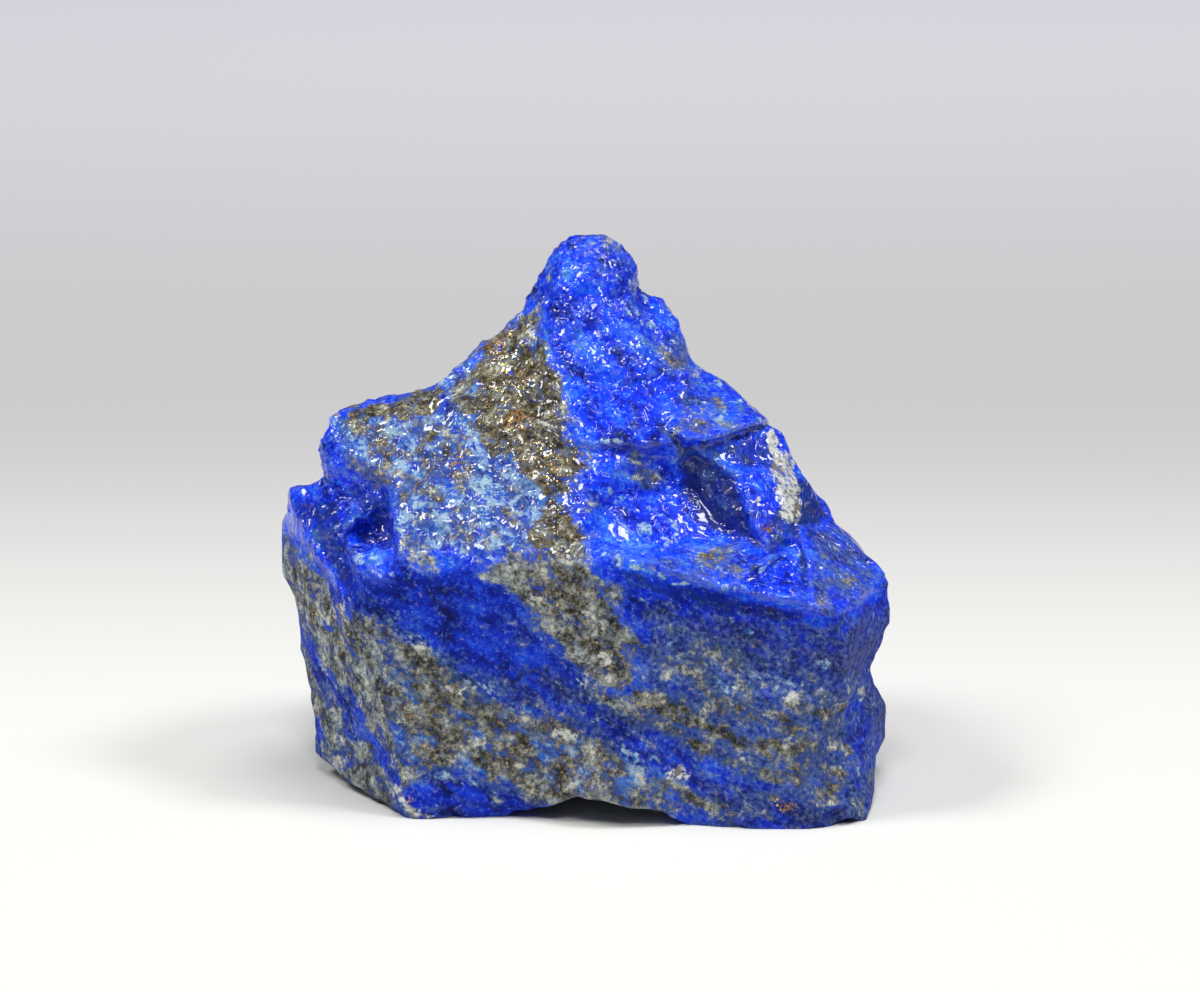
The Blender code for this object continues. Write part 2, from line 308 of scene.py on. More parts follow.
def distance_to_line(places, line):
    """Distance in the picture from each place to the nearest stretch of a line of points."""
    nearest = np.full(len(places), np.inf)
    line = np.array(line, float)
    for start, end in zip(line[:-1], line[1:]):
        side = end - start
        share = np.clip((places - start) @ side / (side @ side), 0, 1)
        away = np.linalg.norm(places - start - share[:, None] * side, axis=1)
        nearest = np.minimum(nearest, away)
    return nearest


def inside(places, outline, soft):
    """From 0 outside a closed outline to 1 inside it, eased over the soft width on both sides of its edge.
    A place is inside if a level line to its right crosses the outline an odd number of times."""
    outline = np.array(outline, float)
    odd = np.zeros(len(places), bool)
    for start, end in zip(outline, np.roll(outline, -1, axis=0)):
        rise = end[1] - start[1] or 1e-9
        spans = (start[1] > places[:, 1]) != (end[1] > places[:, 1])
        crossing = start[0] + (places[:, 1] - start[1]) * (end[0] - start[0]) / rise
        odd ^= spans & (places[:, 0] < crossing)
    away = distance_to_line(places, np.vstack([outline, outline[:1]]))
    return ease(0.5 + np.where(odd, away, -away) / (2 * soft))


def stroke(places, line, half_wide, soft):
    """From 1 on a line of points to 0 beyond its half width, eased over the soft width."""
    return ease(0.5 + (half_wide - distance_to_line(places, line)) / (2 * soft))


def spot(places, across, down, long, short, turn):
    """An oval spot, 1 to half its size and fading to 0 at one and a half: its long axis is turned
    clockwise from level by so many degrees."""
    angle = np.radians(turn)
    offset = places - (across, down)
    lengthwise = (offset @ (np.cos(angle), np.sin(angle))) / long
    sideways = (offset @ (-np.sin(angle), np.cos(angle))) / short
    return ease(1.5 - np.hypot(lengthwise, sideways))


# Broken faces of the front, as outlines in the picture. The matte face is the whole lower front and left
# side, the low front is the part of it where the blue is dull, and the notch is the hollow between the ledge
# and the roof.
KNOB_FACE = [
    (515, 320), (545, 235), (600, 220), (650, 250), (675, 300), (700, 362),
    (655, 376), (628, 386), (575, 388), (552, 345),
]
ROOF_FACE = [
    (300, 480), (305, 405), (430, 375), (520, 295), (552, 345), (572, 388),
    (566, 430), (580, 470), (585, 550), (480, 566), (398, 556), (389, 500), (352, 478),
]
TERRACE_FACE = [
    (572, 385), (628, 386), (655, 376), (700, 362), (790, 420), (700, 448), (580, 443), (560, 420),
]
BOWL_FACE = [
    (580, 446), (700, 450), (745, 500), (770, 545), (735, 588), (605, 556), (582, 548),
]
MATTE_FACE = [
    (340, 560), (395, 558), (440, 566), (500, 560), (585, 556), (640, 570), (700, 584), (745, 594),
    (815, 616), (850, 612), (900, 570), (930, 850), (250, 860), (250, 520), (300, 540), (350, 606),
]
LOW_FRONT = [
    (240, 560), (395, 566), (585, 562), (640, 592), (700, 622), (815, 640), (850, 618), (900, 600),
    (930, 850), (250, 860),
]
NOTCH = [
    (341, 485), (359, 480), (374, 482), (385, 494), (391, 512), (394, 533), (396, 555), (365, 544),
    (341, 534), (338, 508),
]

# Flat broken facets of the front: the outline, how far across its edge it blends in pixels, how flat it is
# from 0 to 1, and how far it stands towards the camera in millimetres.
FACETS = {
    "terrace": ([(572, 386), (628, 386), (660, 376), (700, 372), (690, 392), (673, 434), (666, 446),
                 (646, 448), (616, 441), (577, 443)], 7, 0.5, 0.0),
    "slab": ([(701, 370), (741, 394), (760, 408), (774, 424), (745, 434), (722, 442), (697, 447),
              (673, 434), (690, 392)], 2.5, 0.45, 0.30),
    "below the slab": ([(697, 447), (722, 442), (745, 434), (774, 424), (786, 446), (777, 470),
                        (742, 471), (714, 461)], 2.5, 0.9, -0.35),
    "navy": ([(697, 447), (714, 461), (742, 471), (745, 487), (749, 510), (756, 531), (767, 547),
              (735, 540), (705, 515), (687, 490), (680, 462)], 6, 0.6, -0.40),
    "blue": ([(742, 471), (777, 470), (787, 500), (792, 524), (778, 550), (767, 547), (756, 531),
              (749, 510), (745, 487)], 2.5, 1.0, 0.25),
    "strip": ([(780, 440), (804, 464), (818, 490), (838, 520), (802, 529), (792, 524), (787, 500),
               (777, 470)], 3, 0.8, 0.0),
    "corner": ([(802, 529), (838, 518), (866, 547), (890, 572), (871, 582), (859, 597), (838, 616),
                (827, 615), (812, 606), (806, 561)], 3, 0.8, 0.15),
    "prism": ([(730, 586), (747, 577), (767, 562), (781, 551), (792, 553), (799, 565), (804, 584),
               (808, 606), (745, 594)], 3, 0.8, 0.25),
    "shelf": ([(600, 552), (640, 547), (735, 546), (767, 550), (767, 562), (747, 577), (728, 586),
               (691, 577), (669, 571), (646, 564), (607, 556)], 3, 0.85, 0.0),
    "front right": ([(608, 561), (646, 569), (691, 582), (728, 591), (745, 599), (812, 613), (838, 621),
                     (850, 640), (846, 700), (760, 690), (640, 690), (600, 620)], 3, 0.75, -0.12),
    "bowl wall": ([(578, 445), (616, 443), (627, 460), (610, 490), (597, 512), (586, 546), (580, 500)],
                  7, 0.6, 0.0),
    "bowl floor": ([(616, 443), (646, 449), (668, 448), (680, 462), (687, 490), (705, 515), (735, 540),
                    (735, 546), (640, 547), (586, 547), (597, 512), (610, 490), (627, 460)], 6, 0.5, -0.12),
    "ledge top": ([(284, 482), (291, 484), (320, 480), (349, 476), (341, 497), (292, 506)], 3, 0.8, 0.2),
    "ledge front": ([(292, 506), (340, 498), (341, 533), (308, 533)], 3, 0.95, 0.0),
    "ledge foot": ([(308, 533), (341, 533), (349, 563), (357, 606), (338, 588)], 3, 0.8, -0.3),
    "column": ([(341, 534), (365, 544), (396, 556), (396, 580), (372, 586), (350, 566)], 4, 0.7, 0.2),
}

# Lines along which the front is worn round, with their half widths in pixels, then the rounds, how far a
# point moves to its neighbours' mean in each, the soft width as a share of the half width, and the height of
# the grain that is put back.
WORN_LINES = {
    "roof foot": ([(392, 558), (440, 556), (500, 558), (585, 552)], 15),
    "notch": ([(360, 503), (368, 515)], 17),
}
WORN_ROUNDS = 40
WORN_STEP = 0.6
WORN_SOFT = 0.7
WORN_GRAIN = 0.28

# Pushes that bring the outline to the real one's: the place, the reach in pixels, and the push to the right,
# up the picture and forward along the floor, in millimetres.
PUSHES = {
    "roof corner": (345, 408, 34, -0.15, 0.42, 0.0),
    "roof edge": (440, 380, 28, 0.05, -0.30, 0.0),
    "crest edge": (503, 326, 24, 0.25, -0.55, 0.0),
    "ledge side": (284, 560, 26, -0.75, 0.0, 0.0),
    "ledge corner": (285, 500, 24, -0.12, 0.05, 0.0),
    "foot left": (326, 762, 40, -0.55, 0.0, 0.2),
    "foot corner": (352, 800, 54, -1.25, 0.0, 0.7),
    "foot front": (405, 815, 60, -0.40, 0.0, 1.0),
    "right shoulder": (846, 528, 26, 0.10, 0.12, 0.0),
    "right corner": (878, 566, 24, 0.30, 0.10, 0.0),
    "right side": (888, 618, 26, 0.36, 0.0, 0.0),
    "right hollow": (873, 662, 15, -0.55, 0.0, 0.0),
    "right flank": (883, 702, 24, 0.42, 0.0, 0.0),
    "right low": (876, 775, 26, 0.34, 0.0, 0.0),
    "right foot": (838, 822, 46, 0.35, 0.0, 2.0),
    "knob top": (590, 236, 22, 0.0, 0.30, 0.0),
    "knob shoulder": (628, 256, 20, 0.25, 0.22, 0.0),
    "knob left": (534, 276, 26, 0.36, -0.16, 0.0),
    "knob right": (662, 300, 20, 0.30, 0.36, 0.0),
    "arch": (594, 806, 44, 0.0, 1.25, 1.7),
    "arch right": (656, 820, 30, 0.0, -0.05, 1.0),
}

# Cracks, grooves and raised edges of the front: the line, its half width in pixels and its depth or height
# in millimetres, then their soft width as a share of the half width.
CRACKS = {
    "under the lip": ([(698, 446), (722, 442), (745, 432), (770, 424)], 3.5, 0.50),
    "fissure": ([(673, 434), (685, 450), (696, 447)], 4.0, 0.45),
    "beside the corner": ([(793, 527), (800, 552), (808, 590)], 3.5, 0.30),
    "ledge seam": ([(343, 530), (349, 563), (357, 606)], 3.5, 0.30),
    "prism groove": ([(778, 550), (790, 545), (800, 532)], 3.0, 0.15),
    "knob foot": ([(628, 386), (655, 377), (678, 360)], 4.0, 0.20),
    "knob side": ([(703, 368), (692, 390)], 3.0, 0.20),
    "small pit": ([(768, 528), (768, 531)], 4.5, 0.55),
    "knob pit": ([(614, 296), (617, 297)], 4.0, 0.35),
    "right crease": ([(856, 699), (848, 720), (835, 742)], 2.5, 0.15),
}
EDGES = {
    "shelf lip": ([(607, 556), (646, 564), (669, 571), (691, 577), (728, 586)], 3.0, 0.44),
    "small prism": ([(730, 586), (747, 577), (767, 562), (781, 551), (792, 553)], 3.0, 0.34),
    "terrace lip": ([(577, 443), (616, 442), (646, 448), (666, 447)], 3.5, 0.14),
    "below the lip": ([(698, 450), (714, 461), (730, 467), (742, 474), (749, 510), (767, 547)], 2.5, 0.12),
    "corner rim": ([(882, 570), (859, 597), (838, 616), (815, 607)], 4.0, 0.15),
    "notch lip": ([(341, 533), (366, 545), (392, 557)], 3.0, 0.15),
}
CRACK_SOFT = 0.9


def stone_skin():
    """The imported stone's own surface, closed, remeshed to an even cell and smoothed, as a new mesh."""
    shape = bmesh.new()
    shape.from_mesh(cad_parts["lapis_stone"].data)
    bmesh.ops.remove_doubles(shape, verts=shape.verts, dist=MERGE_DISTANCE * MM)
    blank = bpy.data.meshes.new("stone_blank")
    shape.to_mesh(blank)
    shape.free()
    holder = bpy.data.objects.new("stone_blank", blank)
    bpy.context.scene.collection.objects.link(holder)
    even = holder.modifiers.new("even_skin", "REMESH")
    even.mode = "VOXEL"
    even.voxel_size = SKIN_CELL * MM
    smoothed = holder.modifiers.new("worn_skin", "SMOOTH")
    smoothed.iterations = SKIN_SMOOTHING
    graph = bpy.context.evaluated_depsgraph_get()
    mesh = bpy.data.meshes.new_from_object(holder.evaluated_get(graph))
    bpy.data.objects.remove(holder)
    return mesh


def mesh_arrays(mesh):
    """A mesh's points in millimetres and its outward normals."""
    points = np.empty(len(mesh.vertices) * 3)
    mesh.vertices.foreach_get("co", points)
    normals = np.empty(len(mesh.vertices) * 3)
    mesh.vertices.foreach_get("normal", normals)
    return points.reshape(-1, 3) / MM, normals.reshape(-1, 3)


def set_points(mesh, points):
    """Puts the mesh's points at the given places in millimetres."""
    mesh.vertices.foreach_set("co", (points * MM).ravel())
    mesh.update()


def pushed(points):
    """The points moved by each push, across and up the picture and forward. The share of a push is e to
    the power of minus the squared distance seen from its place, over the squared reach."""
    places = seen_at(points)
    moved = points.copy()
    for across, down, reach, right, up, forward in PUSHES.values():
        share = np.exp(-np.sum((places - (across, down)) ** 2, axis=1) / reach**2)
        moved += share[:, None] * (np.array([right, -forward, 0]) + up * VIEW_UP)
    return moved


def neighbour_mean(mesh, values):
    """The mean of the values at each point's neighbours along the mesh's edges, column by column."""
    ends = np.empty(len(mesh.edges) * 2, np.int32)
    mesh.edges.foreach_get("vertices", ends)
    ends = ends.reshape(-1, 2)
    near = np.concatenate([ends[:, 0], ends[:, 1]])
    far = np.concatenate([ends[:, 1], ends[:, 0]])
    count = np.bincount(near, minlength=len(values))
    sums = [np.bincount(near, weights=column[far], minlength=len(values)) for column in values.T]
    return np.stack(sums, axis=1) / count[:, None]


def faceted(mesh, points, normals):
    """The points moved along their lines of sight onto flat facets. A facet is the plane that fits the depths
    of its own points best, as depth = a + b across + c down, brought forward; where facets meet, the moves
    are shared by how far inside each one a point is, and evened out with the neighbours'."""
    places = seen_at(points) + FACET_RAGGED * ragged(points, 1.3, 2, (3, 7))
    depths = (points - EYE) @ VIEW_AHEAD
    shown = facing_view(normals, 0.08, 0.3) * near_side(points)
    total = np.zeros(len(points))
    shares = np.zeros(len(points))
    for outline, soft, flatness, forward in FACETS.values():
        share = shown * inside(places, outline, soft)
        within = share > FACET_CORE
        from_middle = (places - np.mean(outline, axis=0)) / FACET_UNIT
        terms = np.column_stack([np.ones(len(places)), from_middle])
        fit = np.linalg.lstsq(terms[within], depths[within], rcond=None)[0]
        move = np.clip(flatness * (terms @ fit - depths) - forward, -FACET_MOST_MOVE, FACET_MOST_MOVE)
        total += share * move
        shares += share
    depth_change = (total / np.maximum(shares, 1))[:, None]
    for _ in range(FACET_EVENING):
        depth_change = 0.5 * depth_change + 0.5 * neighbour_mean(mesh, depth_change)
    return EYE + (points - EYE) * (1 + depth_change / depths[:, None])


def worn(mesh, points):
    """The points near the worn lines drawn to the mean of their neighbours, round after round."""
    share = np.zeros(len(points))
    for line, half_wide in WORN_LINES.values():
        share = np.maximum(share, stroke(seen_at(points), line, half_wide, half_wide * WORN_SOFT))
    share = (share * near_side(points))[:, None]
    for _ in range(WORN_ROUNDS):
        points = points + share * WORN_STEP * (neighbour_mean(mesh, points) - points)
    return points


def relief(points, normals):
    """How far each point of the skin moves out along its normal, in millimetres: the grain of every broken
    face and of the plain rock between them, times the share of that face, then the notch, the worn lines,
    the cracks and the edges where the surface looks to the front. A noise is written as its height times the
    noise, whose numbers are its cell in millimetres, its octaves if it is a rough one, and its seed."""
    places = seen_at(points) + RELIEF_RAGGED * ragged(points, 1.5, 2, (11, 17))
    front = facing_view(normals, -0.12, 0.4)
    layered = along_layers(points)
    upright = points * UPRIGHT_GRAIN
    level = points * LEVEL_GRAIN
    knob = inside(places, KNOB_FACE, 10)
    roof = inside(places, ROOF_FACE, 12)
    smooth = front * np.maximum(inside(places, TERRACE_FACE, 8), inside(places, BOWL_FACE, 8))
    matte = inside(places, MATTE_FACE, 8)
    notch = inside(places, NOTCH, 5)
    plain = (1 - knob) * (1 - roof) * (1 - matte) * (1 - smooth) * (1 - 0.8 * notch)

    moved = 0.04 * rough_noise(points, 1.0, 3, 23)
    moved += knob * (0.17 * grains(upright, 0.86, 31) + 0.10 * rough_noise(upright, 1.6, 2, 37) - 0.10)
    moved += roof * (0.24 * rough_noise(points, 1.7, 3, 41) + 0.14 * grains(points, 0.9, 43) - 0.07)
    moved += matte * (0.16 * rough_noise(layered, 3.2, 3, 47) + 0.06 * scars(points, 2.4, 51))
    moved += plain * (0.30 * scars(points, 3.4, 53) + 0.14 * scars(points, 1.3, 57))
    moved += plain * 0.08 * rough_noise(points, 1.2, 3, 59)
    moved += smooth * (0.05 * smooth_noise(level, 1.6, 61) + 0.10 * smooth_noise(points, 3.6, 67))
    moved += front * notch * (0.55 * rough_noise(points, 2.4, 2, 73) + 0.25 * scars(points, 1.5, 75) - 0.25)
    for line, half_wide in WORN_LINES.values():
        worn_share = front * stroke(places, line, half_wide, half_wide)
        moved += worn_share * WORN_GRAIN * rough_noise(points, 1.6, 3, 69)
    for line, half_wide, depth in CRACKS.values():
        moved -= front * depth * stroke(places, line, half_wide, half_wide * CRACK_SOFT)
    for line, half_wide, height in EDGES.values():
        moved += front * height * stroke(places, line, half_wide, half_wide * CRACK_SOFT)
    return moved


def kept_in_box(points):
    """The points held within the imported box, with the feet kept flat on the floor."""
    low, high = (np.array(corner) / MM for corner in packed_box)
    points = np.clip(points, low, high)
    points[points[:, 2] < FOOT_HEIGHT, 2] = 0
    return points


def sharpness(mesh, points, normals):
    """How far each point stands out from the mean of its neighbours along its normal, in millimetres."""
    return np.einsum("ij,ij->i", points - neighbour_mean(mesh, points), normals)


# Markings: where each kind of rock is seen, and where shade and highlights are painted into the colour. An
# outline comes with its soft width, a line with its half width and soft width, and an oval spot as its middle,
# half length, half width and turn. How much there is of the rock or of the paint comes last.
ROOF_TOP = [
    (335, 412), (470, 372), (505, 400), (560, 430), (560, 500), (582, 552), (398, 558), (388, 490),
    (350, 476), (332, 440),
]
GREY_OUTLINES = {
    "middle": ([(530, 556), (582, 546), (593, 576), (612, 598), (630, 628), (640, 655), (632, 676),
                (600, 692), (575, 668), (560, 650), (535, 632), (515, 605), (500, 580), (486, 556)],
               18, 1.02),
    "roof crest": ([(508, 306), (532, 308), (548, 345), (568, 380), (566, 410), (562, 432), (578, 455),
                    (578, 478), (564, 498), (584, 530), (584, 552), (545, 566), (530, 540), (538, 500),
                    (524, 480), (498, 462), (478, 446), (462, 420), (476, 400), (458, 384), (476, 344)],
                   20, 1.05),
    "roof all": ([(335, 412), (470, 372), (505, 400), (560, 430), (560, 500), (582, 552), (398, 556),
                  (388, 490), (350, 476), (332, 440)], 14, 0.47),
    "lower left": ([(385, 606), (402, 642), (440, 655), (470, 688), (530, 706), (560, 724), (600, 744),
                    (640, 765), (700, 790), (760, 806), (740, 832), (640, 815), (560, 810), (500, 790),
                    (440, 768), (412, 790), (398, 740), (385, 700), (372, 640)], 14, 0.74),
    "slab": ([(690, 376), (741, 394), (760, 412), (720, 440), (676, 430)], 12, 0.42),
    "shelf": ([(684, 546), (745, 550), (738, 576), (700, 578)], 9, 0.52),
    "bowl grey": ([(612, 455), (650, 450), (672, 480), (650, 500), (620, 488)], 9, 0.42),
    "corner": ([(806, 530), (866, 560), (850, 610), (810, 600)], 14, 0.34),
    "front top left": ([(400, 562), (500, 560), (500, 580), (410, 580)], 8, 0.50),
    "knob right": ([(655, 330), (690, 340), (700, 365), (670, 372)], 10, 0.50),
    "left side": ([(276, 520), (296, 550), (330, 596), (355, 612), (376, 650), (384, 690), (398, 760),
                   (412, 822), (340, 800), (300, 700), (280, 600)], 8, 0.80),
    "front right": ([(640, 640), (700, 640), (860, 690), (880, 780), (860, 820), (760, 800), (700, 760),
                     (655, 700)], 24, 0.50),
    "front middle": ([(470, 672), (560, 690), (640, 730), (640, 750), (560, 722), (480, 696)], 12, 0.42),
}
GREY_LINES = {
    "crest band": ([(352, 410), (398, 402), (425, 400), (452, 406), (480, 400)], 12, 10, 0.98),
    "tail upper": ([(600, 670), (625, 690), (655, 702), (700, 722), (745, 744), (800, 742)], 9, 9, 0.88),
    "tail lower": ([(610, 700), (640, 712), (690, 742), (730, 766), (780, 800)], 9, 9, 0.84),
    "right streak": ([(700, 690), (745, 700), (800, 730)], 8, 9, 0.62),
    "column edge": ([(358, 612), (376, 650), (384, 690), (398, 760), (408, 800)], 5, 4, 0.7),
}
BLUE_LINES = {
    "side band": ([(298, 625), (318, 672), (345, 700), (368, 735), (390, 775), (402, 800)], 7, 6, 0.65),
    "front band": ([(500, 672), (560, 700), (620, 732), (700, 762), (770, 790)], 8, 7, 0.55),
    "ledge foot": ([(330, 560), (352, 606)], 12, 5, 0.9),
}
BLUE_SPOTS = {
    "bottom left": (450, 800, 44, 12, 6, 0.85),
    "roof edge": (333, 440, 14, 34, 0, 0.8),
    "roof hollow": (450, 408, 14, 7, 10, 0.6),
    "side foot": (345, 762, 12, 8, 50, 0.4),
    "far right foot": (860, 740, 16, 40, 0, 0.5),
}
PALE_OUTLINES = {
    "roof": (ROOF_TOP, 12, 0.59),
    "front flecks": ([(600, 566), (745, 606), (840, 640), (820, 720), (700, 700), (620, 640)], 14, 0.30),
    "lower left": ([(385, 606), (440, 650), (560, 722), (700, 790), (640, 815), (500, 790), (412, 790),
                    (385, 700)], 14, 0.45),
    "knob right": ([(595, 240), (640, 255), (642, 300), (660, 330), (630, 345), (598, 320)], 12, 0.42),
    "bowl": ([(600, 480), (690, 510), (735, 545), (720, 560), (600, 548)], 12, 0.42),
}
# Pale rock, and painted highlights: the lines along the shelf lip, the prism's rim, the bowl rim at the
# terrace's front edge, the front's top edge and the slab's lower rim ("slab streak three") paint the glints
# along those edges.
PALE_AND_PAINTED_HIGHLIGHT_LINES = {
    "crest upper": ([(415, 392), (440, 384), (470, 366)], 4, 4, 0.9),
    "knob foot": ([(565, 378), (577, 398), (600, 404)], 3, 3, 0.8),
    "bowl streak": ([(586, 550), (640, 545), (700, 541), (733, 546)], 3, 5, 0.58),
    "bowl rim": ([(568, 442), (600, 436), (640, 446)], 4, 5, 0.55),
    "shelf lip": ([(598, 552), (646, 565), (669, 572), (691, 578), (728, 587)], 2.5, 2.5, 0.95),
    "prism rim": ([(730, 587), (747, 578), (767, 563), (781, 552), (795, 557)], 2.5, 2.5, 0.90),
    "slab streak one": ([(716, 374), (702, 394), (690, 412)], 3, 4, 0.80),
    "slab streak two": ([(742, 396), (722, 412), (704, 430)], 3, 4, 0.80),
    "slab streak three": ([(706, 441), (732, 432), (766, 416)], 2, 4, 0.85),
    "front top": ([(352, 560), (372, 566), (392, 572)], 5, 6, 0.6),
    "middle edge": ([(520, 618), (550, 654), (590, 690)], 5, 6, 0.6),
}
# Pale rock, and one painted highlight: the column top is painted paler where the light falls on it.
PALE_AND_PAINTED_HIGHLIGHT_SPOTS = {
    "roof sky": (409, 424, 26, 13, 0, 0.75),
    "roof far left": (362, 450, 16, 10, 0, 0.7),
    "roof low": (522, 486, 18, 12, 30, 0.75),
    "roof middle": (468, 418, 12, 9, 0, 0.8),
    "roof corner": (548, 532, 24, 12, 60, 0.7),
    "knob left": (546, 350, 8, 8, 0, 0.9),
    "knob top": (609, 282, 9, 14, 0, 0.6),
    "knob low": (618, 318, 8, 8, 0, 0.4),
    "column top": (366, 560, 14, 8, 10, 0.6),
    "shelf": (715, 562, 26, 10, 15, 0.5),
    "front fleck": (520, 592, 22, 14, 40, 0.35),
    "front band": (620, 740, 60, 18, 25, 0.45),
}
WHITE_LINES = {
    "vein top": ([(771, 434), (774, 450), (782, 468)], 4, 2, 1.0),
    "vein": ([(780, 462), (787, 482), (788, 498), (791, 512)], 12, 4, 0.82),
    "smear": ([(536, 424), (550, 428), (568, 433)], 2, 2, 0.9),
    "roof ridge": ([(553, 510), (562, 528), (577, 546)], 2, 3, 0.55),
    "column corner": ([(398, 790), (410, 812), (430, 818)], 4, 4, 0.8),
}
# White calcite grains, and one painted highlight: "grain beside" paints the long glint beside a grain.
WHITE_GRAIN_AND_PAINTED_GLINT_SPOTS = {
    "grain": (606, 657, 8, 9, 0, 1.0),
    "grain beside": (598, 630, 14, 6, 10, 0.5),
    "front one": (455, 689, 14, 5, 12, 0.9),
    "front two": (563, 736, 18, 6, 14, 0.85),
    "front three": (475, 740, 8, 6, 0, 0.8),
    "front four": (675, 773, 14, 10, 0, 0.75),
    "front five": (416, 648, 12, 6, 20, 0.7),
    "front six": (404, 722, 7, 6, 0, 0.7),
    "side one": (336, 610, 7, 16, 25, 0.6),
    "side two": (338, 762, 6, 9, 20, 0.8),
    "side three": (360, 700, 6, 14, 25, 0.4),
    "middle one": (540, 600, 14, 8, 40, 0.6),
    "middle two": (590, 690, 14, 9, 40, 0.45),
    "middle three": (560, 560, 16, 6, 10, 0.4),
    "upper right": (698, 371, 4, 10, 25, 0.6),
    "dot": (758, 498, 3, 4, 0, 1.0),
    "knob flank": (530, 330, 12, 6, 60, 0.5),
}
# Navy rock and painted shade. The facet beside the bowl, the roof's and the knob's deep patches and the corner
# facet are the rock's own navy; the strips below the shelf lip and under the lip, the ledge facets, the notch
# and its floor are painted shade, in hollows and under overhangs.
NAVY_AND_PAINTED_SHADE_OUTLINES = {
    "facet beside the bowl": ([(678, 452), (700, 450), (735, 476), (748, 520), (765, 548), (735, 540),
                               (700, 520), (680, 490)], 9, 0.78),
    "roof": (ROOF_TOP, 12, 0.58),
    "knob": ([(540, 250), (640, 260), (690, 360), (560, 380), (530, 320)], 12, 0.30),
    "below the shelf lip": ([(606, 562), (646, 571), (691, 584), (728, 592), (745, 600), (812, 614),
                             (800, 622), (740, 616), (690, 604), (630, 588)], 4, 0.62),
    "under the lip": ([(700, 450), (770, 432), (777, 468), (742, 470), (714, 460)], 5, 0.55),
    "corner facet": ([(796, 470), (812, 482), (834, 520), (800, 530), (770, 556), (768, 520)], 7, 0.7),
    "ledge facets": ([(290, 505), (340, 498), (345, 535), (356, 606), (338, 580), (308, 533)], 6, 0.6),
    "notch": ([(350, 478), (388, 492), (396, 552), (345, 535), (340, 500)], 5, 0.55),
    "notch floor": ([(343, 519), (380, 520), (384, 532), (345, 530)], 4, 0.5),
}
# Dark streaks of the rock, and painted shade: the lines under the lip, along the fissure, beside the corner and
# along the ledge seam darken the cracks cut there.
DARK_STREAK_AND_PAINTED_SHADE_LINES = {
    "streak one": ([(450, 678), (462, 680), (474, 685)], 3, 3, 0.95),
    "streak two": ([(500, 688), (512, 682), (524, 674), (534, 672), (544, 668)], 2, 3, 0.90),
    "streak three": ([(408, 674), (420, 678), (434, 685)], 3, 3, 0.9),
    "under the lip": ([(703, 446), (722, 442), (745, 432), (764, 425)], 3, 2, 0.9),
    "fissure": ([(673, 434), (685, 450), (696, 447)], 4, 2, 0.8),
    "beside the corner": ([(793, 527), (800, 552), (808, 585)], 4, 3, 0.7),
    "bowl wall": ([(588, 512), (597, 500)], 6, 6, 0.5),
    "ledge seam": ([(343, 533), (349, 563), (357, 606)], 3, 3, 0.5),
}
OLIVE_OUTLINES = {
    "crest": ([(300, 380), (480, 310), (520, 290), (560, 340), (580, 440), (590, 550), (540, 560),
               (330, 470)], 12, 1.0),
    "middle top": ([(540, 540), (590, 540), (610, 600), (560, 620), (520, 590)], 10, 0.45),
    "middle low": ([(580, 640), (640, 640), (700, 740), (620, 700)], 10, 0.4),
    "lower left": ([(385, 640), (480, 690), (640, 740), (700, 800), (500, 820), (400, 790)], 14, 0.55),
    "right foot": ([(680, 690), (880, 720), (860, 830), (700, 800)], 14, 0.6),
    "right side": ([(660, 330), (780, 420), (880, 560), (840, 616), (690, 580), (680, 440)], 14, 0.8),
}
DULL_OUTLINES = {
    "front right": ([(640, 600), (745, 610), (850, 622), (890, 620), (880, 800), (760, 820), (640, 760),
                     (470, 690), (480, 670), (640, 690)], 16, 0.80),
    "right foot": ([(860, 600), (900, 600), (900, 830), (780, 840), (800, 740)], 12, 0.75),
    "lower left": ([(385, 606), (440, 650), (560, 722), (700, 790), (640, 815), (500, 800), (400, 810),
                    (385, 700)], 14, 0.7),
    "front navy": ([(470, 668), (540, 660), (620, 690), (640, 760), (560, 720), (480, 700)], 10, 0.6),
    "left side": ([(276, 520), (330, 596), (376, 650), (412, 822), (340, 800), (280, 600)], 8, 0.5),
    "shelf": ([(640, 556), (735, 546), (780, 556), (700, 576)], 8, 0.75),
    "upper right": ([(670, 380), (700, 372), (760, 412), (740, 434), (690, 440)], 10, 0.50),
    "knob flank": ([(645, 320), (680, 330), (700, 366), (660, 380)], 10, 0.6),
    "corner": ([(806, 530), (838, 520), (886, 575), (850, 610), (810, 600)], 10, 0.75),
    "under the slab": ([(700, 447), (770, 430), (777, 470), (742, 471)], 8, 0.4),
}
GOLD_SPOTS = {
    "crest": (505, 360, 36, 26, 40, 1.2),
    "crest band": (405, 402, 54, 11, -5, 1.1),
    "crest low": (505, 405, 34, 24, 50, 1.1),
    "roof": (460, 465, 16, 14, 0, 0.6),
    "roof low": (548, 470, 24, 22, 60, 0.9),
    "roof middle": (505, 462, 14, 12, 0, 0.8),
    "roof rim": (570, 500, 10, 30, 0, 0.6),
    "middle": (565, 620, 40, 20, 45, 0.5),
    "tail": (635, 690, 26, 10, 30, 0.6),
    "bottom right": (788, 810, 13, 9, 30, 1.0),
    "front left": (410, 715, 14, 10, 0, 0.6),
    "lower front": (470, 750, 50, 20, 10, 0.30),
    "side": (330, 620, 20, 50, -30, 0.35),
    "roof front": (455, 530, 60, 24, 0, 0.45),
}
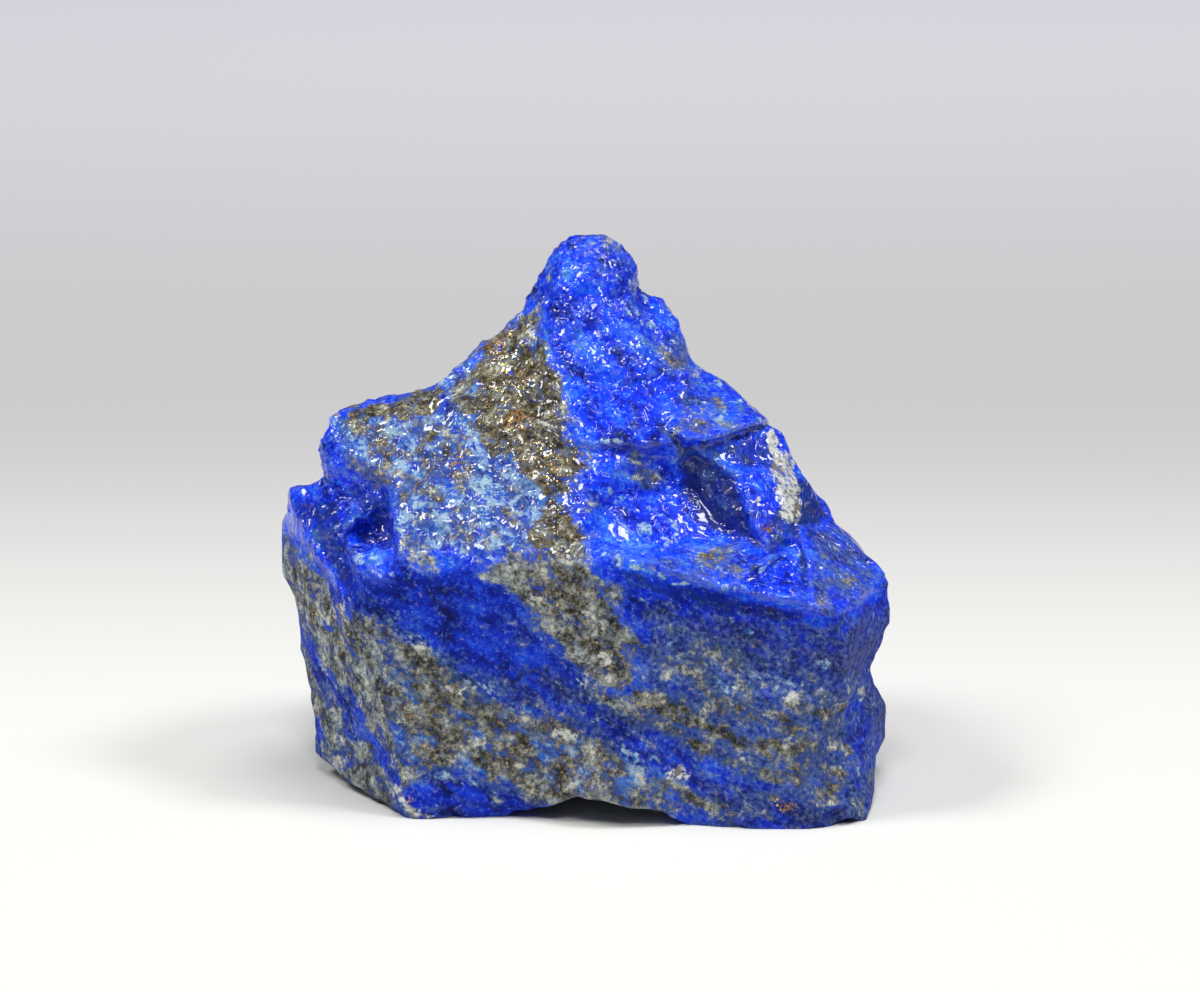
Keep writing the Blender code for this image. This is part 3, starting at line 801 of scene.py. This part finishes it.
RUST_SPOTS = {
    "edge": (334, 415, 3, 3, 0, 1.0),
    "crest high": (503, 330, 6, 5, 0, 0.7),
    "crest": (493, 348, 12, 10, 0, 0.6),
    "crest low": (518, 421, 16, 9, 10, 0.62),
    "crest mid": (520, 378, 16, 6, 10, 0.5),
    "roof": (456, 462, 6, 6, 0, 0.6),
    "roof rim": (556, 470, 6, 8, 0, 0.5),
    "pit": (768, 529, 4, 5, 0, 1.0),
    "bottom right": (788, 808, 9, 6, 30, 0.8),
    "column foot": (410, 801, 3, 8, 15, 0.7),
    "front left": (410, 716, 5, 5, 0, 0.6),
    "front dot": (522, 780, 3, 3, 0, 0.8),
}

# Spots of the matte face that are wet all the same.
MATTE_GLOSS = {
    "middle": (595, 628, 26, 8, 0, 0.9),
    "notch floor": (360, 566, 20, 10, 10, 0.6),
}


def markings(places, outlines=None, lines=None, spots=None):
    """How much of one kind of rock there is at each place: the most that any of its shapes gives."""
    amount = np.zeros(len(places))
    for outline, soft, most in (outlines or {}).values():
        amount = np.maximum(amount, most * inside(places, outline, soft))
    for line, half_wide, soft, most in (lines or {}).values():
        amount = np.maximum(amount, most * stroke(places, line, half_wide, soft))
    for across, down, long, short, turn, most in (spots or {}).values():
        amount = np.maximum(amount, most * spot(places, across, down, long, short, turn))
    return amount


def rock_amounts(points, normals):
    """The amount of each kind of rock and of water at each point, by name; the dark, pale and white amounts
    also carry painted shade and highlights. The shapes go through the stone along the view, shifted by the
    layers' noise, and shifted more with the depth, so the back has its own pattern. The steady places, for
    small marks, shift the least. A film of water lies on the faces that look to the front or up, but on the
    matte face only in spots."""
    layered = along_layers(points)
    back = ease((points[:, 1] - BACK_START) / BACK_SOFT)
    drift = ragged(layered, 4.0, 3, (71, 79))
    fine = ragged(layered, 0.9, 2, (83, 89))
    seen = seen_at(points)
    places = seen + (FRONT_DRIFT + BACK_DRIFT * back)[:, None] * drift + FINE_DRIFT * fine
    steady = seen + STEADY_DRIFT * drift + STEADY_FINE_DRIFT * fine
    front = facing_view(normals, -0.25, 0.5)
    turned_to_view = facing_view(normals, 0.02, 0.25)
    upward = ease((normals[:, 2] + 0.1) / 0.5)
    matte = inside(seen, MATTE_FACE, 5)
    matte_low = inside(seen, MATTE_FACE, 8) * inside(seen, LOW_FRONT, 34)
    blue = markings(places, None, BLUE_LINES, BLUE_SPOTS)
    grey = markings(places, GREY_OUTLINES, GREY_LINES) * (1 - blue)
    back_grey = 0.8 * ease((rough_noise(layered, 9.0, 3, 97) - 0.05) / 0.5)
    return {
        "grey": np.maximum(grey * (1 - 0.5 * back), back_grey * back),
        "pale": markings(places, PALE_OUTLINES, PALE_AND_PAINTED_HIGHLIGHT_LINES, PALE_AND_PAINTED_HIGHLIGHT_SPOTS) * (1 - 0.6 * blue),
        "white": markings(steady, None, WHITE_LINES, WHITE_GRAIN_AND_PAINTED_GLINT_SPOTS) * turned_to_view,
        "dark": markings(steady, NAVY_AND_PAINTED_SHADE_OUTLINES, DARK_STREAK_AND_PAINTED_SHADE_LINES) * front,
        "bright": 1 - 0.95 * matte_low,
        "dull": markings(places, DULL_OUTLINES) * (1 - blue),
        "gold": np.maximum(markings(places, None, None, GOLD_SPOTS), 0.3 * back * back_grey),
        "rust": markings(steady, None, None, RUST_SPOTS) * turned_to_view,
        "granule": inside(seen, KNOB_FACE, 14),
        "olive": np.maximum(markings(places, OLIVE_OUTLINES), 0.3 * back),
        "wet": np.maximum(
            (1 - matte) * np.maximum(front, upward), markings(places, None, None, MATTE_GLOSS) * front
        ),
    }


def add_node(tree, kind, inputs=None, **settings):
    """A shader node with its settings, and each input set to a value or linked from a socket."""
    made = tree.nodes.new(kind)
    for name, value in settings.items():
        setattr(made, name, value)
    for key, value in (inputs or {}).items():
        if isinstance(value, bpy.types.NodeSocket):
            tree.links.new(value, made.inputs[key])
        else:
            made.inputs[key].default_value = value
    return made


def eased_share(tree, value, low, high):
    """A socket's value made 0 below low, 1 above high, and eased between them."""
    inputs = {"Value": value, "From Min": low, "From Max": high}
    return add_node(tree, "ShaderNodeMapRange", inputs, interpolation_type="SMOOTHSTEP").outputs["Result"]


# Where a Mix node of colours keeps its two colours and its result.
MIX_FIRST = 6
MIX_SECOND = 7
MIX_RESULT = 2


def mixed_colour(tree, share, first, second):
    """The first colour where the share is 0 and the second where it is 1. Each is a socket or a colour."""
    made = add_node(tree, "ShaderNodeMix", {"Factor": share}, data_type="RGBA")
    for key, value in ((MIX_FIRST, first), (MIX_SECOND, second)):
        if isinstance(value, bpy.types.NodeSocket):
            tree.links.new(value, made.inputs[key])
        else:
            made.inputs[key].default_value = (*value, 1)
    return made.outputs[MIX_RESULT]


class RockNodes:
    """The shader nodes of the rock. Each method adds one or a few of them and gives back their result."""

    def __init__(self, tree):
        """The places on the stone, and noises of the rock's own grain sizes: each with where it is read, its
        cell in millimetres, its detail and its roughness."""
        self.tree = tree
        self.place = add_node(tree, "ShaderNodeTexCoord").outputs["Object"]
        layered = self.thinned(LAYER_THINNESS)
        drawn_out = self.thinned(FIBRE_THINNESS)
        self.tone = self.noise(layered, 3.6, 4, 0.6)
        self.fibre = self.noise(drawn_out, 1.7, 4, 0.62)
        self.speckle = self.noise(layered, 1.1, 4, 0.6)
        self.island = self.noise(layered, 2.5, 5, 0.62)
        self.mottle = self.noise(self.place, 1.3, 4, 0.62)
        self.crystal = self.noise(self.place, 0.38, 3, 0.6)
        self.bloom = self.noise(self.place, 0.17, 2, 0.5)

    def math(self, operation, first, second=0.0, third=0.0):
        """One step of arithmetic on sockets or numbers."""
        inputs = {0: first, 1: second, 2: third}
        return add_node(self.tree, "ShaderNodeMath", inputs, operation=operation).outputs[0]

    def vector(self, operation, first, second):
        """One step of arithmetic on places."""
        return add_node(self.tree, "ShaderNodeVectorMath", {0: first, 1: second}, operation=operation)

    def amount(self, name):
        """How much there is of one kind of rock, as stored on the mesh."""
        return add_node(self.tree, "ShaderNodeAttribute", attribute_name=name).outputs["Fac"]

    def noise(self, where, cell, detail, rough):
        """Noise from 0 to 1 whose widest lumps are one cell of so many millimetres wide."""
        inputs = {"Vector": where, "Scale": 1 / (cell * MM), "Detail": detail, "Roughness": rough}
        return add_node(self.tree, "ShaderNodeTexNoise", inputs).outputs["Fac"]

    def cells(self, where, cell):
        """Cells of this width, each round a centre set at random: a node that gives the distance to the
        nearest centre, in cells, and a random colour for each."""
        return add_node(self.tree, "ShaderNodeTexVoronoi", {"Vector": where, "Scale": 1 / (cell * MM)})

    def between(self, value, low, high, most=None):
        """0 below low and 1 above high, eased between them, times the most that is wanted of it."""
        share = eased_share(self.tree, value, low, high)
        return share if most is None else self.math("MULTIPLY", share, most)

    def total(self, *parts, shift=0.0):
        """The shift and each value times its weight, added up."""
        result = shift
        for value, weight in parts:
            result = self.math("MULTIPLY_ADD", value, weight, result)
        return result

    def ramp(self, value, stops):
        """The colour at a value, eased from stop to stop."""
        made = add_node(self.tree, "ShaderNodeValToRGB", {"Fac": value})
        made.color_ramp.interpolation = "EASE"
        while len(made.color_ramp.elements) < len(stops):
            made.color_ramp.elements.new(0.5)
        for element, (position, stop_colour) in zip(made.color_ramp.elements, stops):
            element.position = position
            element.color = (*stop_colour, 1)
        return made.outputs["Color"]

    def mixed(self, share, first, second):
        """The first colour where the share is 0 and the second where it is 1."""
        return mixed_colour(self.tree, share, first, second)

    def thinned(self, thinness):
        """The places drawn out across the layers, so that noise read there is this many times longer along
        them: each moves along the layers' normal by its distance along it, times the thinness less one."""
        along = self.vector("DOT_PRODUCT", self.place, LAYER_NORMAL).outputs["Value"]
        push = add_node(self.tree, "ShaderNodeVectorMath", {0: LAYER_NORMAL}, operation="SCALE")
        self.tree.links.new(self.math("MULTIPLY", along, thinness - 1), push.inputs["Scale"])
        return self.vector("ADD", self.place, push.outputs[0]).outputs[0]

    def bump(self, height, strength, distance):
        """Normals bent by a height, of which 1 stands for this many millimetres."""
        inputs = {"Height": height, "Strength": strength, "Distance": distance * MM}
        return add_node(self.tree, "ShaderNodeBump", inputs).outputs["Normal"]


def blue_rock(rock):
    """Lazurite: bright blue, but duller low on the front, with frosted crystals in it, dull and navy stretches,
    and patches of sky blue. The navy also paints shade into hollows, cracks and under overhangs, and the sky
    blue also paints highlights along some edges and on the column's top."""
    bright = rock.amount("bright")
    blue_lot = rock.total(
        (rock.tone, 1.7), (rock.fibre, 1.0), (rock.crystal, 0.7), (rock.bloom, 0.4), (bright, 0.10),
        shift=-1.48,
    )
    blue = rock.mixed(bright, rock.ramp(blue_lot, MATTE_BLUES), rock.ramp(blue_lot, WET_BLUES))
    frost_lot = rock.total((rock.crystal, 0.7), (rock.bloom, 0.5), (rock.speckle, 0.5), shift=-0.35)
    blue = rock.mixed(rock.between(frost_lot, 0.53, 0.66, 0.34), blue, rock.mixed(bright, *FROSTS))
    dull_lot = rock.total((rock.amount("dull"), 1), (rock.speckle, 1.8), shift=-0.9)
    dull_blue = rock.mixed(rock.between(rock.crystal, 0.40, 0.62), *DULL_BLUES)
    blue = rock.mixed(rock.between(dull_lot, 0.25, 0.95, 0.72), blue, dull_blue)
    navy_and_shade_lot = rock.total((rock.amount("dark"), 1), (rock.fibre, 1.2), shift=-0.6)
    navy = rock.mixed(rock.between(rock.mottle, 0.50, 0.62), *NAVIES)
    blue = rock.mixed(rock.between(navy_and_shade_lot, 0.2, 0.8, 0.85), blue, navy)
    sky_and_highlight_lot = rock.total((rock.amount("pale"), 1), (rock.speckle, 1.7), (rock.island, -2.1), shift=0.18)
    sky_grain = rock.total((rock.crystal, 0.5), (rock.mottle, 0.7), shift=-0.1)
    sky = rock.mixed(rock.between(sky_grain, 0.42, 0.58), *SKIES)
    return rock.mixed(rock.between(sky_and_highlight_lot, 0.52, 0.80, 0.90), blue, sky)


def stony_rock(rock):
    """Grey and olive rock with slate-blue grains in it."""
    stone_lot = rock.total((rock.mottle, 1.2), (rock.crystal, 0.8), (rock.bloom, 0.4), shift=-0.70)
    olive = rock.ramp(stone_lot, OLIVE_TONES)
    stony = rock.mixed(rock.amount("olive"), rock.ramp(stone_lot, STONY_TONES), olive)
    return rock.mixed(rock.between(rock.speckle, 0.50, 0.64, 0.42), stony, SLATE_BLUE)


def veined(rock, colour):
    """A colour with white calcite over it, which has brown specks, and then ochre stains. The white also paints
    one glint, beside a white grain on the front.
    """
    calcite_and_glint_lot = rock.total((rock.amount("white"), 1), (rock.crystal, 1.5), shift=-0.75)
    calcite = rock.mixed(rock.between(rock.crystal, 0.35, 0.62), *CALCITES)
    brown_specks = rock.between(rock.math("SUBTRACT", 1.0, rock.mottle), 0.52, 0.58, 0.85)
    calcite = rock.mixed(brown_specks, calcite, BROWN_SPECK)
    colour = rock.mixed(rock.between(calcite_and_glint_lot, 0.35, 0.90), colour, calcite)
    rust_lot = rock.total((rock.amount("rust"), 1), (rock.crystal, 3.0), (rock.bloom, 1.8), shift=-2.4)
    ochre = rock.mixed(rock.between(rock.bloom, 0.40, 0.60), *OCHRES)
    return rock.mixed(rock.between(rust_lot, 0.45, 0.95, 0.8), colour, ochre)


def pyrite_grains(rock, stony_share):
    """1 on the pyrite and 0 off it: small cells are chosen at random, more often in the grey rock, and each
    holds a round grain whose reach is random too."""
    cells = rock.cells(rock.place, PYRITE_CELL)
    random = add_node(rock.tree, "ShaderNodeSeparateColor", {"Color": cells.outputs["Color"]})
    cluster = rock.math("MULTIPLY", rock.amount("gold"), rock.between(rock.speckle, 0.42, 0.60))
    often = rock.math("MULTIPLY_ADD", stony_share, 0.50, 0.18)
    chosen = rock.math("LESS_THAN", random.outputs["Red"], rock.math("MULTIPLY", cluster, often))
    reach = rock.math("MULTIPLY_ADD", random.outputs["Green"], 0.34, 0.18)
    middle = rock.math("LESS_THAN", cells.outputs["Distance"], reach)
    return rock.math("MULTIPLY", chosen, middle)


def granule_domes(rock):
    """How far the knob's granules fall away from their middles: the squared distance to the nearest one."""
    tall = rock.vector("MULTIPLY", rock.place, GRANULE_STRETCH).outputs[0]
    away = rock.cells(tall, GRANULE_CELL).outputs["Distance"]
    return rock.math("MULTIPLY", rock.math("MULTIPLY", away, away), rock.amount("granule"))


def film_height(rock, domes):
    """The film of water. Its folds are the root of a noise's squared swing plus a little, a rounded crease
    where the noise crosses its middle. Its beads are e to the power of minus a squared swing many times
    over, a thin raised line where that noise does. It follows the granules' domes."""
    swell = rock.math("SUBTRACT", rock.noise(rock.place, 0.85, 1, 0.5), 0.5)
    folds = rock.math("SQRT", rock.math("MULTIPLY_ADD", swell, swell, FOLD_ROUNDING))
    bend = rock.math("SUBTRACT", rock.noise(rock.place, 1.5, 1, 0.5), 0.5)
    beads = rock.math("EXPONENT", rock.math("MULTIPLY", rock.math("MULTIPLY", bend, bend), -BEAD_SHARPNESS))
    return rock.total((folds, 0.36), (beads, 0.50), (domes, -0.60))


def lapis_material():
    """Lazurite blue, grey and pale rock and pyrite under a film of water. The amount of each kind stored on
    the mesh and noises of its grains' own sizes are added up, and it shows where the total is high."""
    material = bpy.data.materials.new("lapis")
    material.use_nodes = True
    tree = material.node_tree
    tree.nodes.clear()
    output = add_node(tree, "ShaderNodeOutputMaterial")
    shader = add_node(tree, "ShaderNodeBsdfPrincipled")
    tree.links.new(shader.outputs["BSDF"], output.inputs["Surface"])
    rock = RockNodes(tree)

    # The blue rock has a lighter fringe round the grey, and sharp edges are a little paler.
    grey_lot = rock.total(
        (rock.amount("grey"), 1), (rock.island, 2.4), (rock.mottle, 1.0), (rock.crystal, 0.9), shift=-2.15
    )
    stony_share = rock.between(grey_lot, 0.38, 0.78)
    blue = rock.mixed(rock.between(grey_lot, 0.10, 0.45, 0.30), blue_rock(rock), FRINGE_BLUE)
    colour = veined(rock, rock.mixed(stony_share, blue, stony_rock(rock)))
    pyrite = pyrite_grains(rock, stony_share)
    colour = rock.mixed(pyrite, colour, PYRITE_GOLD)
    colour = rock.mixed(rock.between(rock.amount("edge"), 0.1, 0.9, 0.10), colour, EDGE_BLUE)
    tree.links.new(colour, shader.inputs["Base Color"])
    tree.links.new(pyrite, shader.inputs["Metallic"])

    wet = rock.amount("wet")
    rough = rock.math("SUBTRACT", DRY_ROUGHNESS, rock.math("MULTIPLY", wet, WET_SMOOTHER))
    rough = rock.math("SUBTRACT", rough, rock.math("MULTIPLY", pyrite, PYRITE_SMOOTHER))
    tree.links.new(rough, shader.inputs["Roughness"])
    tree.links.new(wet, shader.inputs["Coat Weight"])
    shader.inputs["Coat Roughness"].default_value = FILM_ROUGHNESS
    shader.inputs["Coat IOR"].default_value = FILM_IOR
    shader.inputs["Specular IOR Level"].default_value = ROCK_SPECULAR

    # The rock's bump is crystals all over, and the domes of the knob's granules.
    domes = granule_domes(rock)
    rock_height = rock.total((rock.crystal, 0.8), (rock.bloom, 0.4), (domes, -1.0))
    tree.links.new(rock.bump(rock_height, 0.6, ROCK_BUMP), shader.inputs["Normal"])
    tree.links.new(rock.bump(film_height(rock, domes), 0.8, FILM_BUMP), shader.inputs["Coat Normal"])
    return material


def lapis_stone():
    """The finished stone: the even skin, pushed to the outline, faceted, worn and given its relief, with the
    rock amounts stored on its points. Each step reads the normals that the step before it left."""
    mesh = stone_skin()
    points, _ = mesh_arrays(mesh)
    set_points(mesh, pushed(points))
    points, normals = mesh_arrays(mesh)
    set_points(mesh, faceted(mesh, points, normals))
    points, _ = mesh_arrays(mesh)
    set_points(mesh, worn(mesh, points))
    points, normals = mesh_arrays(mesh)
    set_points(mesh, kept_in_box(points + relief(points, normals)[:, None] * normals))
    points, normals = mesh_arrays(mesh)
    amounts = rock_amounts(points, normals)
    amounts["edge"] = np.clip(sharpness(mesh, points, normals) / EDGE_FULL, 0, 1)
    for name, values in amounts.items():
        mesh.attributes.new(name, "FLOAT", "POINT").data.foreach_set("value", values)
    mesh.name = "rough_lapis"
    mesh.materials.clear()
    mesh.materials.append(lapis_material())
    mesh.shade_smooth()
    made = bpy.data.objects.new("rough_lapis", mesh)
    bpy.context.scene.collection.objects.link(made)
    return made


stone = lapis_stone()
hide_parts("lapis_stone")
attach(stone, "root")


# The floor: one wide sheet of pale studio paper. Its colour paints the lights' falloff: painted shade darkens
# it in a band behind the stone, and painted light makes it pale again far behind, as the lit backdrop. It
# isn't part of the stone.

FLOOR_HALF = 3000.0
FLOOR_NEAR = (0.79, 0.79, 0.757)
FLOOR_PAINTED_SHADE = (0.555, 0.55, 0.56)
FLOOR_FAR = (0.93, 0.91, 0.99)
FADE_START = 5.0
FADE_MIDDLE = 120.0
FADE_END = 400.0
FLOOR_ROUGHNESS = 0.9
FLOOR_SPECULAR = 0.1


def floor_material():
    """Pale paper near the stone, easing to a painted shade of darker grey and then to a painted pale lavender
    light with the distance back, in place of the lights' falloff.
    """
    material = bpy.data.materials.new("studio_paper")
    material.use_nodes = True
    tree = material.node_tree
    shader = tree.nodes["Principled BSDF"]
    place = add_node(tree, "ShaderNodeTexCoord").outputs["Object"]
    back = add_node(tree, "ShaderNodeSeparateXYZ", {0: place}).outputs["Y"]
    painted_shade_share = eased_share(tree, back, FADE_START * MM, FADE_MIDDLE * MM)
    far_share = eased_share(tree, back, FADE_MIDDLE * MM, FADE_END * MM)
    paper = mixed_colour(tree, painted_shade_share, FLOOR_NEAR, FLOOR_PAINTED_SHADE)
    paper = mixed_colour(tree, far_share, paper, FLOOR_FAR)
    tree.links.new(paper, shader.inputs["Base Color"])
    shader.inputs["Roughness"].default_value = FLOOR_ROUGHNESS
    shader.inputs["Specular IOR Level"].default_value = FLOOR_SPECULAR
    return material


def floor():
    """A square sheet at the stone's feet."""
    half = FLOOR_HALF * MM
    corners = [(-half, -half, 0), (half, -half, 0), (half, half, 0), (-half, half, 0)]
    mesh = bpy.data.meshes.new("paper_floor")
    mesh.from_pydata(corners, [], [(0, 1, 2, 3)])
    mesh.materials.append(floor_material())
    made = bpy.data.objects.new("paper_floor", mesh)
    bpy.context.scene.collection.objects.link(made)
    return made


floor()


# The lights: a wide soft sheet far overhead, three small soft boxes high at the sides and in front, whose
# reflections are the glints on the wet faces, and an even pale room. The left box is the strongest, so the
# darker shadow is to the right. Places and sizes are in millimetres, and powers in watts.

SOFT_SHEET = {"place": (160, 60, 1200), "size": 600, "power": 5.6}
SOFT_BOXES = {
    "soft_box_left": {"place": (-330, -60, 480), "size": 170, "power": 1.35},
    "soft_box_right": {"place": (320, -40, 490), "size": 160, "power": 1.15},
    "soft_box_front": {"place": (-30, -300, 510), "size": 150, "power": 0.95},
}
AIM = Vector((0, 0, 15))
ROOM_COLOUR = (0.83, 0.83, 0.80)
ROOM_STRENGTH = 0.09


def soft_light(name, place, size, power):
    """A round area light turned to the stone's middle."""
    data = bpy.data.lights.new(name, "AREA")
    data.shape = "DISK"
    data.size = size * MM
    data.energy = power
    made = bpy.data.objects.new(name, data)
    made.location = Vector(place) * MM
    made.rotation_euler = (AIM - Vector(place)).to_track_quat("-Z", "Y").to_euler()
    bpy.context.scene.collection.objects.link(made)
    return made


def room():
    """The even light of the room."""
    world = bpy.data.worlds.new("room")
    world.use_nodes = True
    world.node_tree.nodes["Background"].inputs["Color"].default_value = (*ROOM_COLOUR, 1)
    world.node_tree.nodes["Background"].inputs["Strength"].default_value = ROOM_STRENGTH
    bpy.context.scene.world = world


# The sheet lights the stone but isn't mirrored in it, because the real one's wet faces show only small
# glints.
soft_light("soft_sheet", **SOFT_SHEET).visible_glossy = False
for box_name, box in SOFT_BOXES.items():
    soft_light(box_name, **box)
room()
bpy.context.scene.view_settings.view_transform = "Standard"
